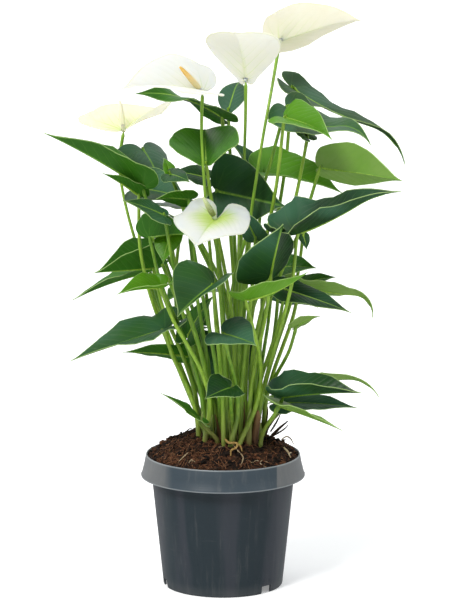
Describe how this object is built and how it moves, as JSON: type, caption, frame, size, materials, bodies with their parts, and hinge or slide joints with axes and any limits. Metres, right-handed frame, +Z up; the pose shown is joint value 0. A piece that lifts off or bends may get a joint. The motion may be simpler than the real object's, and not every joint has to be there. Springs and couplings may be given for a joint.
{
  "type": "potted flamingo flower",
  "caption": "White-flowered flamingo flower with heart-shaped leaves on long stems, growing in peat soil in a round dark grey nursery pot.",
  "frame": {"origin": "centre of the pot's foot, on the surface that the pot stands on", "axes": "+Z up along the pot's axis, -Y towards the front of the plant, +X to the right seen from the front"},
  "size_m": [0.4145, 0.3174, 0.6736],
  "materials": {
    "leaf": "glossy living leaf, dark green above and paler below",
    "spathe": "waxy white petal-like bract with faint green veins",
    "spadix": "yellow flower spike, finely knobbed",
    "peat": "dark brown peat with fibres and roots, matte",
    "pot_plastic": "dark grey moulded plastic, satin with faint scuffs"
  },
  "bodies": {
    "root": {"pot": "pot_plastic", "soil": "peat", "leaf_01": "leaf", "leaf_02": "leaf", "leaf_03": "leaf", "leaf_04": "leaf", "leaf_05": "leaf", "leaf_06": "leaf", "leaf_07": "leaf", "leaf_08": "leaf", "leaf_09": "leaf", "leaf_10": "leaf", "leaf_11": "leaf", "leaf_12": "leaf", "leaf_13": "leaf", "leaf_14": "leaf", "leaf_15": "leaf", "leaf_16": "leaf", "leaf_17": "leaf", "leaf_18": "leaf", "leaf_19": "leaf", "leaf_20": "leaf", "leaf_21": "leaf", "leaf_22": "leaf", "leaf_23": "leaf", "leaf_24": "leaf", "leaf_25": "leaf", "leaf_26": "leaf", "leaf_27": "leaf", "leaf_28": "leaf", "leaf_29": "leaf", "leaf_30": "leaf", "leaf_31": "leaf", "leaf_32": "leaf", "leaf_33": "leaf", "leaf_34": "leaf", "leaf_35": "leaf", "leaf_36": "leaf", "leaf_37": "leaf", "leaf_38": "leaf", "leaf_39": "leaf", "leaf_40": "leaf", "leaf_41": "leaf", "leaf_42": "leaf", "leaf_43": "leaf", "flower_1_stem": "leaf", "flower_1_spathe": "spathe", "flower_1_spadix": "spadix", "flower_2_stem": "leaf", "flower_2_spathe": "spathe", "flower_2_spadix": "spadix", "flower_3_stem": "leaf", "flower_3_spathe": "spathe", "flower_3_spadix": "spadix", "flower_4_stem": "leaf", "flower_4_spathe": "spathe", "flower_4_spadix": "spadix", "flower_5_stem": "leaf", "flower_5_spathe": "spathe", "flower_5_spadix": "spadix"}
  },
  "joints": []
}
